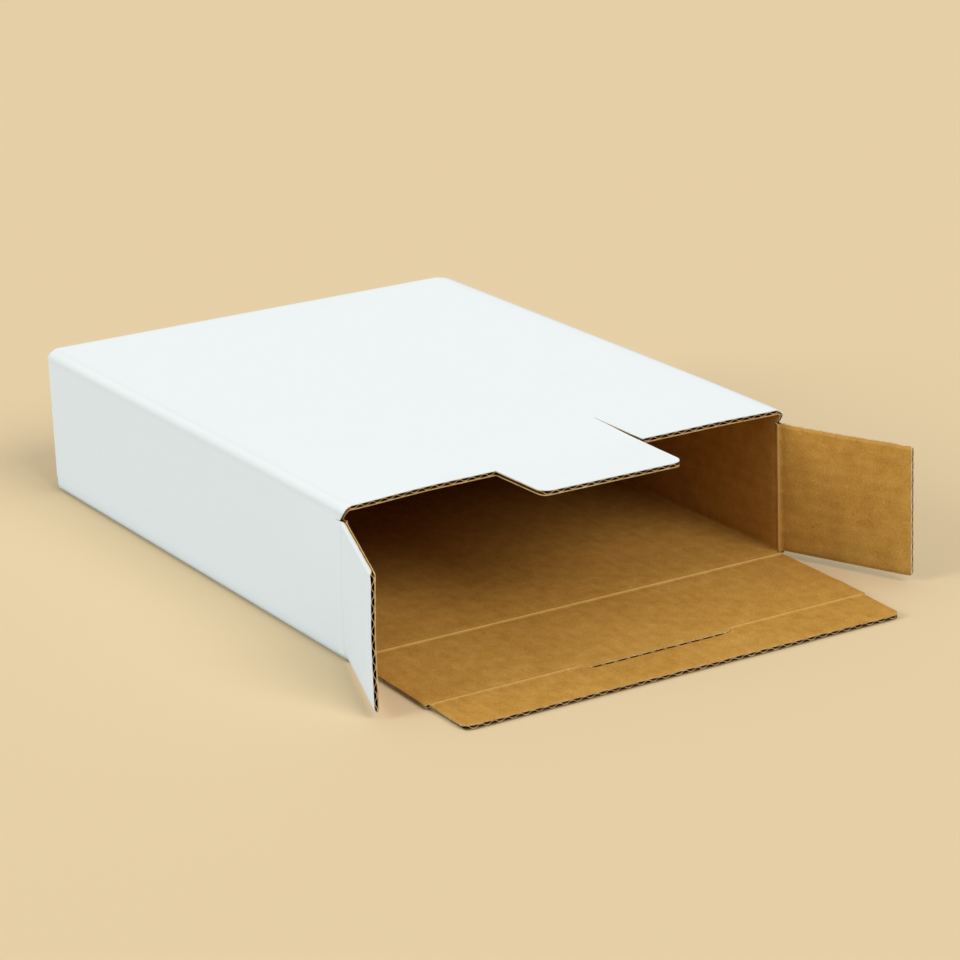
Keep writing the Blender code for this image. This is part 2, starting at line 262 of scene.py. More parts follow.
# Round the sleeve, from the middle of the bottom panel towards +X
FLAT = SIDE - MID_RADIUS
WALL = HEIGHT - BOARD - 2 * MID_RADIUS
ARC = MID_RADIUS * math.pi / 2
RIGHT_LOW = FLAT + ARC
RIGHT_HIGH = RIGHT_LOW + WALL
TOP_RIGHT = RIGHT_HIGH + ARC
TOP_MIDDLE = TOP_RIGHT + FLAT
TOP_LEFT = TOP_MIDDLE + FLAT
LEFT_HIGH = TOP_LEFT + ARC
LEFT_LOW = LEFT_HIGH + WALL
BOTTOM_LEFT = LEFT_LOW + ARC
ROUND = BOTTOM_LEFT + FLAT
PITCH = ROUND / FLUTES_ROUND_SLEEVE
SLEEVE_TRACK = track(
    (0.0, HALF_BOARD), 0.0,
    [(FLAT, RIGHT_LOW, math.pi / 2), (RIGHT_HIGH, TOP_RIGHT, math.pi / 2),
     (TOP_LEFT, LEFT_HIGH, math.pi / 2), (LEFT_LOW, BOTTOM_LEFT, math.pi / 2)])
FOLDS = [begin + ARC / 2 for begin in (FLAT, RIGHT_HIGH, TOP_LEFT, LEFT_LOW)]
END_BEND = SLEEVE_BACK + END_TOP_BEND
CAP_BACK = END_BEND + ARC


def settle(x, y, z):
    """How the handled box has given way: the top's front corners have sunk a little."""
    front = fade(y - FRONT, SAG_DEPTH)
    high = smooth((z - SAG_FROM) / SAG_RISE)
    left = fade(x + SIDE, LEFT_SAG_WIDTH) * front * high
    right = fade(SIDE - x, RIGHT_SAG_WIDTH) * front * high
    lean = fade(x + SIDE, WALL_LEAN_WIDTH) * front * smooth((z - LEAN_FROM) / LEAN_RISE)
    return Vector((x + WALL_LEAN * lean, y, z - LEFT_SAG * left - RIGHT_SAG * right))


def sleeve_place(u, v, h):
    x, z, angle = SLEEVE_TRACK(u % ROUND)
    return rounded(turned_down(settle(x + h * math.sin(angle), v, z - h * math.cos(angle))), h)


def turned_down(point):
    """The top's two corners at the shut end bend along with the end panel between them."""
    past = point.y - END_BEND
    if past <= 0 or point.z < HEIGHT / 2:
        return point
    centre = HEIGHT - FOLD_RADIUS
    above = max(point.z - centre, 0.0)
    angle = past / MID_RADIUS
    return Vector((point.x, END_BEND + above * math.sin(angle), centre + above * math.cos(angle)))


def rounded(point, h):
    """Rounds off the two top corners at the shut end, where three folds meet."""
    side = 1.0 if point.x > 0 else -1.0
    centre = Vector((side * (WIDTH / 2 - CORNER), BACK - CORNER, HEIGHT - CORNER))
    out = point - centre
    nearest = min(out.x * side, out.y, out.z)
    if nearest <= 0:
        return point
    limit = CORNER - HALF_BOARD + h
    share = smooth(nearest / CORNER)
    return centre + out * (1.0 + share * (min(limit / out.length, 1.0) - 1.0))


def fold_nearness(u):
    """1 on a fold of the sleeve, fading to 0 about 5 mm from it; it sets the dents there and the
    painted shade of the outer liner.
    """
    near = min(abs((u % ROUND) - fold) for fold in FOLDS)
    return math.exp(-(near / GRIP_REACH) ** 2)


def flute(u):
    """The medium's wave, with crests flattened where they are glued to the liners."""
    wave = math.cos(2.0 * math.pi * u / PITCH)
    return math.tanh(CREST_FLATNESS * wave) / math.tanh(CREST_FLATNESS)


class Sheet:
    """A panel of board: its outline, where it lies and how it is pressed, built as three layers.

    u runs across the flutes and v along them, both in the unfolded sheet. h is the height over
    the board's middle, towards the white side. span(u) is the first and last v of a column,
    press(u, v) the dents of the inner and the outer side, crushed(v) the panel's two sides and
    how far they are crushed, and the last, a 0-to-1 mask over u, the painted shade that darkens
    the outer liner along the sleeve's folds.
    """

    def __init__(self, name, u_range, rows, span, place, press=None, joined=False, marks=(),
                 flute_at=None, warp=None, hole=None, crushed=None, fold_shade=None):
        self.name = name
        self.u_range = u_range
        self.rows = rows
        self.span = span
        self.place = place
        self.press = press or (lambda u, v: (0.0, 0.0))
        self.joined = joined
        self.marks = marks
        self.flute_at = flute_at or (lambda u: u)
        self.warp = warp or (lambda u, row: row)
        self.hole = hole or (lambda u, row: False)
        self.crushed = crushed
        self.fold_shade = fold_shade or (lambda u: 0.0)

    def columns(self, spacing):
        low, high = self.u_range
        count = max(2, int(math.ceil((high - low) / spacing)))
        values = [low + (high - low) * n / count for n in range(count + 1)]
        values += [mark for mark in self.marks if low < mark < high]
        if self.crushed:
            for edge in set(self.crushed(self.rows[0])[:2] + self.crushed(self.rows[-1])[:2]):
                steps = [edge + CRUSH_REACH * n / CRUSH_STEPS
                         for n in range(-CRUSH_STEPS, CRUSH_STEPS + 1)]
                values += [step for step in steps if low < step < high]
        return sorted(set(round(value, 7) for value in values))

    def crush(self, u, v):
        """How far the liners are pressed together along a side cut through the flutes."""
        if not self.crushed:
            return 0.0
        low, high, share = self.crushed(v)
        return share * CRUSH_DEPTH * fade(min(u - low, high - u), CRUSH_REACH)

    def heights(self, kind, u, bottom, top):
        """The lower and upper height of one layer of the board between its two sides."""
        if kind == "outer_liner":
            return top - OUTER_LINER, top
        if kind == "inner_liner":
            return bottom, bottom + INNER_LINER
        low, high = bottom + INNER_LINER, top - OUTER_LINER
        room = (high - low - MEDIUM) / 2
        middle = (high + low) / 2 + room * flute(self.flute_at(u))
        return middle - MEDIUM / 2, middle + MEDIUM / 2

    def layer(self, kind):
        us = self.columns(PITCH / SAMPLES_A_FLUTE if kind == "medium" else LINER_SPACING)
        low_points, high_points, flat, fold_shade_and_bead = [], [], [], []
        for u in us:
            first, last = self.span(u)
            for row in self.rows:
                v = min(max(self.warp(u, row), first), last)
                inner_dent, outer_dent = self.press(u, v)
                crush = self.crush(u, v)
                bottom = -HALF_BOARD + inner_dent + CRUSH_INNER_SHARE * crush
                top = HALF_BOARD - outer_dent - crush
                h_low, h_high = self.heights(kind, u, bottom, top)
                low_points.append(self.place(u, v, h_low))
                high_points.append(self.place(u, v, h_high))
                flat.append((self.flute_at(u), v))
                # Fold and bead value: on the outer liner it sets painted shade along the sleeve's
                # folds and the crease beads, on the inner liner a lighter brown along the beads
                beaded = min(max(-inner_dent / BEAD_LIFT, 0.0), 1.0)
                fold_shade_and_bead.append(max(beaded, self.fold_shade(u)) if kind == "outer_liner" else beaded)
        return self.solid(kind, us, low_points, high_points, flat, fold_shade_and_bead)

    def solid(self, kind, us, low_points, high_points, flat, fold_shade_and_bead):
        """A closed mesh from the grid: both faces of each cell, and walls where the grid ends."""
        rows = self.rows
        total = len(us) * len(rows)
        kept = set()
        for i in range(len(us) - 1):
            for k in range(len(rows) - 1):
                if not self.hole((us[i] + us[i + 1]) / 2, (rows[k] + rows[k + 1]) / 2):
                    kept.add((i, k))
        faces, slots = [], []
        low_and_high = {"outer_liner": (HIDDEN, FACE), "inner_liner": (FACE, HIDDEN),
                        "medium": (FACE, FACE)}[kind]
        for i, k in sorted(kept):
            a, b = i * len(rows) + k, (i + 1) * len(rows) + k
            corners = (a, b, b + 1, a + 1)
            faces.append(corners[::-1])
            faces.append(tuple(corner + total for corner in corners))
            slots += low_and_high
            beside = ((i, k - 1), (i + 1, k), (i, k + 1), (i - 1, k))
            for side, neighbour in enumerate(beside):
                at_seam = self.joined and neighbour[0] in (-1, len(us) - 1)
                if neighbour not in kept and not at_seam:
                    p, q = corners[side], corners[(side + 1) % 4]
                    faces.append((p, q, q + total, p + total))
                    slots.append(CUT)
        mesh = bpy.data.meshes.new(self.name + "_" + kind)
        mesh.from_pydata([tuple(p) for p in low_points + high_points], [], faces)
        mesh.polygons.foreach_set("material_index", slots)
        layer = mesh.uv_layers.new(name="sheet")
        for loop in mesh.loops:
            u, v = flat[loop.vertex_index % total]
            layer.data[loop.index].uv = (u * UV_SCALE, v * UV_SCALE)
        # Stores the fold and bead value that the paper turns into painted shade on the white and
        # lighter beads on the brown
        weight = mesh.attributes.new("fold_shade_and_bead", "FLOAT", "POINT")
        weight.data.foreach_set("value", fold_shade_and_bead + fold_shade_and_bead)
        work = bmesh.new()
        work.from_mesh(mesh)
        bmesh.ops.remove_doubles(work, verts=work.verts, dist=WELD)
        bmesh.ops.recalc_face_normals(work, faces=work.faces)
        work.to_mesh(mesh)
        work.free()
        piece = bpy.data.objects.new(self.name + "_" + kind, mesh)
        bpy.context.scene.collection.objects.link(piece)
        return piece

    def build(self, finish):
        made = []
        for kind in ("outer_liner", "medium", "inner_liner"):
            piece = self.layer(kind)
            for surface in finish[kind]:
                piece.data.materials.append(surface)
            piece.data.shade_smooth()
            piece.data.set_sharp_from_angle(angle=SHARP)
            made.append(piece)
        return made


def distinct(values):
    return sorted(set(round(value, 7) for value in values))


def rows_between(low, high, spacing, fine=(), reach=0.0048, step=0.0006):
    """Row places: even, and close together round each crease."""
    count = max(1, int(math.ceil((high - low) / spacing)))
    values = [low + (high - low) * n / count for n in range(count + 1)]
    for place in fine:
        near = int(round(reach / step))
        values = [value for value in values if abs(value - place) > reach or value in (low, high)]
        values += [place + step * n for n in range(-near, near + 1)]
    return distinct(value for value in values if low <= value <= high)


def rows_through(distances, spacings):
    """Row places behind the sleeve's back, each stretch with a spacing of its own."""
    rows = []
    for begin, end, spacing in zip(distances, distances[1:], spacings):
        rows += rows_between(SLEEVE_BACK + begin, SLEEVE_BACK + end, spacing)
    return distinct(rows)


def mirrored(places):
    """The same places on both halves of a panel."""
    return [side * place for place in places for side in (-1, 1)]


def stepped(places):
    """Column marks just before and just after each step in an outline."""
    return [place + side * STEP for place in places for side in (-1, 1)]


def bead(distance, lift):
    """Dent of a crease on its inner side: a raised bead between two shallow troughs."""
    ridge = math.exp(-(distance / BEAD_WIDTH) ** 2)
    trough = math.exp(-((abs(distance) - TROUGH_PLACE) / TROUGH_WIDTH) ** 2)
    return -lift * ridge + lift * TROUGH_SHARE * trough


def corner_cut(past, radius):
    """How far a rounded corner falls back, at a place past where it starts."""
    return radius - math.sqrt(max(radius ** 2 - past ** 2, 0.0))


def ragged(u, v, reach=RAGGED):
    """How far a cut edge falls short of its line."""
    coarse = wobble(u, v, scale=0.0021, seed=3.1)
    return reach * abs(coarse + 0.6 * wobble(u, v, scale=0.0007, seed=8.2))


def nipped(distance, depth):
    """How far the knife has pinched the board's inner side along an edge cut across the flutes."""
    return depth * math.exp(-max(distance, 0.0) / NIP_REACH)


# Sleeve
def wall_height(u):
    """Height of a point of either wall, or None off the walls."""
    if RIGHT_LOW - LOW_TURN <= u <= RIGHT_HIGH + LOW_TURN:
        return FOLD_RADIUS + u - RIGHT_LOW
    if LEFT_HIGH - LOW_TURN <= u:
        return HEIGHT - FOLD_RADIUS - (u - LEFT_HIGH)
    if u <= LEFT_LOW - ROUND + LOW_TURN:
        return FOLD_RADIUS - (u - LEFT_LOW + ROUND)
    return None


def sleeve_span(u):
    z = wall_height(u)
    x_low = abs(u)
    x_top = TOP_MIDDLE - u
    first, last = FRONT, SLEEVE_BACK
    if RIGHT_HIGH <= u <= LEFT_HIGH and abs(x_top) > END_PANEL_HALF:
        last = CAP_BACK
    if z is not None:
        if DUST_LOW <= z <= DUST_TOP:
            first = WALL_SEAM
        elif DUST_TOP < z < HEIGHT - BOARD:
            share = (z - DUST_TOP) / (HEIGHT - BOARD - DUST_TOP)
            first = WALL_FRONT + (FRONT - WALL_FRONT) * share
    if x_low < CLOSURE_HALF:
        first = CLOSURE_SEAM
        if x_low >= TONGUE_HALF + RIGHT_SLIT:
            last = END_SILL
        elif x_low >= TONGUE_HALF:
            last = END_SLIT
    if -TONGUE_HALF - LEFT_SLIT < x_top < TONGUE_HALF + RIGHT_SLIT:
        first = TONGUE_AXIS_Y
    if first == FRONT:
        first += ragged(u, FRONT)
    return first, last


def sleeve_press(u, v):
    grip = fold_nearness(u)
    near = math.exp(-max(v - FRONT, 0.0) / EDGE_DENT_REACH)
    z = wall_height(u)
    inner_nip = outer_nip = 0.0
    if RIGHT_HIGH < u < LEFT_HIGH:
        inner_nip = nipped(v - FRONT, TOP_NIP)
    elif z is not None and z > DUST_TOP:
        inner_nip = nipped(v - sleeve_span(u)[0], WALL_NIP)
    if abs(TOP_MIDDLE - u) > FLAT and (z is None or z > DUST_TOP):
        outer_nip = nipped(v - sleeve_span(u)[0], FOLD_NIP)
    dented = EDGE_DENT * near * abs(wobble(u, v, scale=0.004, seed=5.5))
    return GRIP_INNER * grip + inner_nip, GRIP_OUTER * grip + dented + outer_nip


def sleeve(finish):
    rows = [FRONT + step for step in FRONT_ROWS]
    rows += rows_between(FRONT + 0.110, SLEEVE_BACK, 0.050)
    rows += [*BACK_ROWS, END_SLIT, TONGUE_AXIS_Y]
    rows += [END_BEND + ARC * n / FOLD_STEPS for n in range(FOLD_STEPS + 1)]
    marks = []
    for fold_from in (FLAT, RIGHT_HIGH, TOP_LEFT, LEFT_LOW - ROUND, LEFT_LOW):
        marks += [fold_from + ARC * n / FOLD_STEPS for n in range(1 - FOLD_STEPS, 2 * FOLD_STEPS)]
    steps = [RIGHT_LOW + DUST_LOW - FOLD_RADIUS, RIGHT_LOW + DUST_TOP - FOLD_RADIUS,
             LEFT_LOW - ROUND + FOLD_RADIUS - DUST_LOW, LEFT_LOW + FOLD_RADIUS - DUST_TOP]
    steps += mirrored((TONGUE_HALF, TONGUE_HALF + RIGHT_SLIT, CLOSURE_HALF))
    steps += [TOP_MIDDLE - TONGUE_HALF - RIGHT_SLIT, TOP_MIDDLE + TONGUE_HALF + LEFT_SLIT,
              TOP_MIDDLE - END_PANEL_HALF, TOP_MIDDLE + END_PANEL_HALF, RIGHT_HIGH, LEFT_HIGH]
    return Sheet(
        "sleeve", (LEFT_LOW - ROUND, LEFT_LOW), distinct(rows), sleeve_span, sleeve_place,
        press=sleeve_press, joined=True, marks=marks + stepped(steps),
        # The fold mask also sets the painted shade of the white liner along the sleeve's folds
        fold_shade=fold_nearness).build(finish)


# Shut end and glued lap
def end_track_place(path, outer_side):
    def place(u, v, h):
        y, z, angle = path(v - SLEEVE_BACK)
        out = outer_side * h
        return rounded(Vector((u, y - out * math.sin(angle), z + out * math.cos(angle))), h)
    return place


def end_span(length):
    return lambda u: (SLEEVE_BACK, SLEEVE_BACK + length)


def shut_end(finish):
    path = track(
        (SLEEVE_BACK, HEIGHT - HALF_BOARD), 0.0,
        [(END_TOP_BEND, END_TOP_BEND + ARC, -math.pi / 2),
         (END_LOW_BEND, END_LOW_BEND + ARC, -math.pi / 2)])
    rows = rows_through(
        (0.0, END_TOP_BEND, END_TOP_BEND + ARC, END_LOW_BEND, END_LOW_BEND + ARC,
         END_PANEL_LENGTH), (0.004, BEND_SPACING, 0.012, BEND_SPACING, 0.010))
    made = Sheet(
        "end_panel", (-END_PANEL_HALF, END_PANEL_HALF), rows, end_span(END_PANEL_LENGTH),
        end_track_place(path, 1), marks=mirrored(END_PANEL_HALF - 0.0008 * n for n in range(1, 6)),
        flute_at=lambda u: TOP_MIDDLE - u).build(finish)
    up = track((SLEEVE_BACK, HALF_BOARD), 0.0, [(0.0, ARC, math.pi / 2)])
    made += Sheet(
        "end_tongue", (-TONGUE_HALF, TONGUE_HALF),
        rows_through((0.0, ARC, END_TONGUE_LENGTH), (BEND_SPACING, 0.010)),
        end_span(END_TONGUE_LENGTH), end_track_place(up, -1)).build(finish)
    for side, name in ((1, "end_flap_right"), (-1, "end_flap_left")):
        turn = track((SIDE * side, SLEEVE_BACK), math.pi / 2, [(0.0, ARC, side * math.pi / 2)])

        def place(u, v, h, side=side, turn=turn):
            x, y, angle = turn(v - SLEEVE_BACK)
            return rounded(Vector((x + side * h * math.sin(angle),
                                   y - side * h * math.cos(angle), u)), h)
        made += Sheet(
            name, (HEIGHT - DUST_TOP, HEIGHT - FOLD_RADIUS),
            rows_through((0.0, ARC, END_FLAP_LENGTH), (BEND_SPACING, 0.010)),
            end_span(END_FLAP_LENGTH), place,
            flute_at=lambda z, side=side: wall_flute(z, side)).build(finish)
    return made


def wall_flute(z, side):
    """Where a height on a wall lies round the sleeve."""
    if side > 0:
        return RIGHT_LOW + z - FOLD_RADIUS
    return LEFT_HIGH + HEIGHT - FOLD_RADIUS - z


def glue_lap(finish):
    def span(z):
        taper = LAP_TAPER * smooth((z - (LAP_TOP - LAP_TAPER)) / LAP_TAPER)
        return FRONT + LAP_INSET + taper, SLEEVE_BACK - LAP_INSET - taper

    def place(z, v, h):
        return settle(-SIDE + BOARD + GLUE_LINE, v, z) + Vector((-h, 0, 0))
    rows = rows_between(FRONT + LAP_INSET, SLEEVE_BACK - LAP_INSET, 0.030)
    return Sheet("glue_lap", (BOARD + GLUE_LINE, LAP_TOP), rows, span, place).build(finish)


# Locking tongue
def tongue_span(u):
    past = abs(TOP_MIDDLE - u) - (TONGUE_HALF - TONGUE_CORNER)
    tip = TONGUE_TIP_Y + (corner_cut(past, TONGUE_CORNER) if past > 0 else 0.0)
    return tip + ragged(u, tip, RAGGED_TONGUE), TONGUE_AXIS_Y


def tongue_sag(y):
    """The tongue hangs a little below the panel it was cut from, and curls up again at its tip."""
    along = smooth((TONGUE_AXIS_Y - y) / TONGUE_SAG_REACH)
    tip = smooth((FRONT - y) / TONGUE_CURL_REACH)
    return -TONGUE_SAG * along + TONGUE_CURL * tip


def tongue_press(u, v):
    x = abs(TOP_MIDDLE - u)
    out = min(v - TONGUE_TIP_Y, TONGUE_HALF - x if v < FRONT else 1.0)
    return nipped(out, FLAP_NIP), 0.0


def tongue_place(u, v, h):
    """Ahead of the panel the tongue narrows, and its right side hangs lower than its left."""
    x = TOP_MIDDLE - u
    ahead = min(max((FRONT - v) / (FRONT - TONGUE_TIP_Y), 0.0), 1.0)
    lean = 0.5 + 0.5 * x / TONGUE_HALF
    apart = smooth((TONGUE_AXIS_Y - v) / (TONGUE_AXIS_Y - FRONT)) * max(2.0 * lean - 1.0, 0.0)
    x -= TONGUE_TAPER * ahead * (0.5 + x / TONGUE_HALF) + SLIT_SPREAD * apart
    hang = tongue_sag(v) * (TONGUE_LEFT_SHARE + (1.0 - TONGUE_LEFT_SHARE) * lean)
    return Vector((x, v, HEIGHT - HALF_BOARD + h + hang))


def tongue(finish):
    rows = [row for row in rows_between(TONGUE_TIP_Y, TONGUE_AXIS_Y, 0.0035)
            if row > TONGUE_TIP_Y + TIP_ROWS_REACH]
    rows += [TONGUE_TIP_Y + TIP_ROWS_REACH * n / 6 for n in range(7)]
    marks = [TOP_MIDDLE + place for place in
             mirrored(TONGUE_HALF - TONGUE_CORNER * (n / 9) ** 2 for n in range(1, 10))]
    return Sheet(
        "tongue", (TOP_MIDDLE - TONGUE_HALF, TOP_MIDDLE + TONGUE_HALF), sorted(set(rows)),
        tongue_span, tongue_place, press=tongue_press, marks=marks).build(finish)


# Closure panel and tuck strip
def skew(x, y):
    """The handled flap lies a little askew, more so towards its front edge."""
    return x - SKEW * max(CLOSURE_AXIS_Y - y, 0.0)


def closure_place(u, v, h):
    torn = wobble(v, u, scale=0.0023, seed=7.7) + 0.5 * wobble(v, u, scale=0.0008, seed=2.2)
    frayed = SIDE_FRAY * fade(CLOSURE_HALF - abs(u), SIDE_FRAY_REACH) * (torn - 0.3)
    return Vector((skew(u, v) + math.copysign(frayed, u), v, HALF_BOARD - h))


def closure_press(u, v):
    return bead(v - CLOSURE_AXIS_Y, BEAD_LIFT), 0.0


def closure_sides(v):
    return -CLOSURE_HALF, CLOSURE_HALF, smooth((CLOSURE_SEAM - v) / CRUSH_FADE)


def closure(finish):
    rows = rows_between(STRIP_SEAM, CLOSURE_SEAM, 0.0080, fine=(CLOSURE_AXIS_Y,))
    return Sheet(
        "closure", (-CLOSURE_HALF, CLOSURE_HALF), rows, lambda u: (STRIP_SEAM, CLOSURE_SEAM),
        closure_place, press=closure_press, crushed=closure_sides).build(finish)


def strip_span(u):
    x = abs(u)
    inner = TUCK_EDGE_HALF - TUCK_CORNER
    if x <= inner:
        first = TUCK_EDGE_Y
    elif x <= TUCK_EDGE_HALF:
        first = TUCK_EDGE_Y + corner_cut(x - inner, TUCK_CORNER)
    elif x <= TUCK_ROOT_HALF:
        share = (x - TUCK_EDGE_HALF) / (TUCK_ROOT_HALF - TUCK_EDGE_HALF)
        first = TUCK_EDGE_Y + TUCK_CORNER + (TUCK_AXIS_Y - TUCK_EDGE_Y - TUCK_CORNER) * share
    else:
        first = TUCK_AXIS_Y + HALF_BOARD
    if x < TUCK_ROOT_HALF:
        first += ragged(u, first, RAGGED_STRIP)
    return first, STRIP_SEAM


def strip_sides(v):
    half = TUCK_ROOT_HALF if v < TUCK_AXIS_Y + HALF_BOARD else CLOSURE_HALF
    return -half, half, 1.0


def strip_press(u, v):
    """The strip's lip has sunk in front of the slit, and its cut edge is a little crushed."""
    middle = smooth((RIDGE_END - abs(u)) / RIDGE_FADE)
    dent = bead(v - TUCK_AXIS_Y, STRIP_BEAD_SHARE * BEAD_LIFT) * (1.0 - SLIT_BEAD_LOSS * middle)
    ahead = slit_line(u) - v
    if ahead > 0:
        sunk = smooth((SINK_END - abs(u)) / SINK_FADE)
        dent += SLIT_SINK * sunk * math.exp(-ahead / SLIT_SINK_REACH)
    else:
        dent -= SLIT_RIDGE * middle * math.exp(ahead / SLIT_RIDGE_REACH)
    edge = nipped(v - TUCK_EDGE_Y, 1.0)
    weight = STRIP_EDGE_WEAR * abs(wobble(u, v, scale=0.0032, seed=2.7))
    return dent + edge * (STRIP_EDGE_DENT + weight), STRIP_OUTER_DENT * edge


def slit_line(u):
    """The slit runs straight, and its two ends hook towards the crease."""
    hook = max(abs(u) - SLIT_STRAIGHT, 0.0) * SLIT_HOOK
    return SLIT_Y + hook + SLIT_WANDER * wobble(u, 0.0, scale=0.0050, seed=4.4)


def slit_warp(u, row):
    """Draws the rows near the slit along with its hooked ends."""
    beyond = SLIT_HALF + SLIT_FADE - abs(u)
    if beyond < 0:
        return row
    near = math.exp(-((row - SLIT_Y) / SLIT_DRAW) ** 2)
    held = min(max(u, -SLIT_HALF), SLIT_HALF)
    return row + (slit_line(held) - SLIT_Y) * near * smooth(beyond / SLIT_FADE)


def slit_hole(u, row):
    return abs(u) < SLIT_HALF and abs(row - SLIT_Y) < SLIT_WIDTH / 2


def strip(finish):
    rows = rows_between(TUCK_EDGE_Y, STRIP_SEAM, 0.0024, fine=(TUCK_AXIS_Y, SLIT_Y),
                        reach=0.0030, step=0.0005)
    rows = [row for row in rows if abs(row - SLIT_Y) > SLIT_WIDTH / 2]
    rows += [SLIT_Y - SLIT_WIDTH / 2, SLIT_Y + SLIT_WIDTH / 2]
    rows += [TUCK_EDGE_Y + TUCK_CORNER * (n / 6) ** 2 for n in range(1, 6)]
    marks = stepped(mirrored((TUCK_ROOT_HALF, SLIT_HALF)))
    marks += mirrored(SLIT_STRAIGHT + 0.0006 * n for n in range(12))
    marks += mirrored(TUCK_EDGE_HALF - TUCK_CORNER * (n / 9) ** 2 for n in range(10))
    marks += mirrored(SINK_END - 0.0022 * n for n in range(6))
    return Sheet(
        "tuck", (-CLOSURE_HALF, CLOSURE_HALF), sorted(set(rows)), strip_span, closure_place,
        press=strip_press, marks=marks, warp=slit_warp, hole=slit_hole,
        crushed=strip_sides).build(finish)


# Dust flaps
def dust_flap(name, side, splay, top_corner, low_corner, finish):
    root = WALL_SEAM - DUST_AXIS_Y
    length = root + DUST_REACH
    path = track((SIDE * side, WALL_SEAM), -math.pi / 2,
                 [(root - DUST_BEND, root + DUST_BEND, side * splay)])

    def span(z):
        tip = WALL_SEAM - length
        for edge, radius in ((DUST_TOP - z, top_corner), (z - DUST_LOW, low_corner)):
            if edge < radius:
                tip += corner_cut(radius - edge, radius)
        return tip + ragged(z, tip), WALL_SEAM

    def place(z, v, h):
        x, y, angle = path(WALL_SEAM - v)
        torn = wobble(v, side, scale=0.0026, seed=1.3)
        torn += 0.5 * wobble(v, side, scale=0.0009, seed=6.1) - 0.5
        point = settle(x, y, z + DUST_FRAY * fade(DUST_TOP - z, DUST_FRAY_REACH) * torn)
        return point + Vector((-side * math.sin(angle), side * math.cos(angle), 0)) * h

    def press(z, v):
        return bead(v - DUST_AXIS_Y, BEAD_LIFT) + nipped(v - WALL_SEAM + length, FLAP_NIP), 0.0

    def sides(v):
        return DUST_LOW, DUST_TOP, smooth((DUST_CRUSH_FROM - v) / CRUSH_FADE)
    rows = rows_between(WALL_SEAM - length, WALL_SEAM, 0.0040, fine=(DUST_AXIS_Y,), reach=0.0036)
    marks = []
    for step in range(1, 8):
        share = (step / 8) ** 2
        marks += [DUST_TOP - top_corner * share, DUST_LOW + low_corner * share]
    made = Sheet(
        name, (DUST_LOW, DUST_TOP), rows, span, place, press=press, marks=marks,
        flute_at=lambda z: wall_flute(z, side), crushed=sides).build(finish)
    tip = path(root + 0.0030)
    for piece in made:
        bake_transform(piece)
    return made


# Finishes
class Nodes:
    """Adds nodes to a material or a world, and joins them."""

    def __init__(self, owner):
        owner.use_nodes = True
        self.nodes, self.links = owner.node_tree.nodes, owner.node_tree.links

    def add(self, kind, inputs, **settings):
        node = self.nodes.new("ShaderNode" + kind)
        for name, setting in settings.items():
            setattr(node, name, setting)
        for name, value in inputs.items():
            self.feed(value, node.inputs[name])
        return node

    def feed(self, value, socket):
        if isinstance(value, bpy.types.NodeSocket):
            self.links.new(value, socket)
        else:
            socket.default_value = value

    def mix(self, factor, a, b):
        return self.add("Mix", {0: factor, 6: a, 7: b}, data_type="RGBA").outputs[2]

    def math(self, operation, *values):
        return self.add("Math", dict(enumerate(values)), operation=operation).outputs[0]

    def ramp(self, value, low, high):
        return self.add("MapRange", {"Value": value, "From Min": low, "From Max": high},
                        interpolation_type="SMOOTHSTEP").outputs["Result"]

    def noise(self, vector, scale, detail, rough=0.5):
        return self.add("TexNoise", {"Vector": vector, "Scale": scale, "Detail": detail,
                                     "Roughness": rough}).outputs["Fac"]

    def fibres(self, vector, scale, width=0.014):
        """Thin curled lines: where a soft random field crosses its middle value."""
        field = self.add("TexNoise", {"Vector": vector, "Scale": scale, "Detail": 1.0,
                                      "Distortion": 0.3}).outputs["Fac"]
        apart = self.math("ABSOLUTE", self.math("SUBTRACT", field, 0.5))
        return self.math("SUBTRACT", 1.0, self.ramp(apart, 0.0, width))

    def stretched(self, vector, scale):
        return self.add("Mapping", {"Vector": vector, "Scale": scale}).outputs["Vector"]


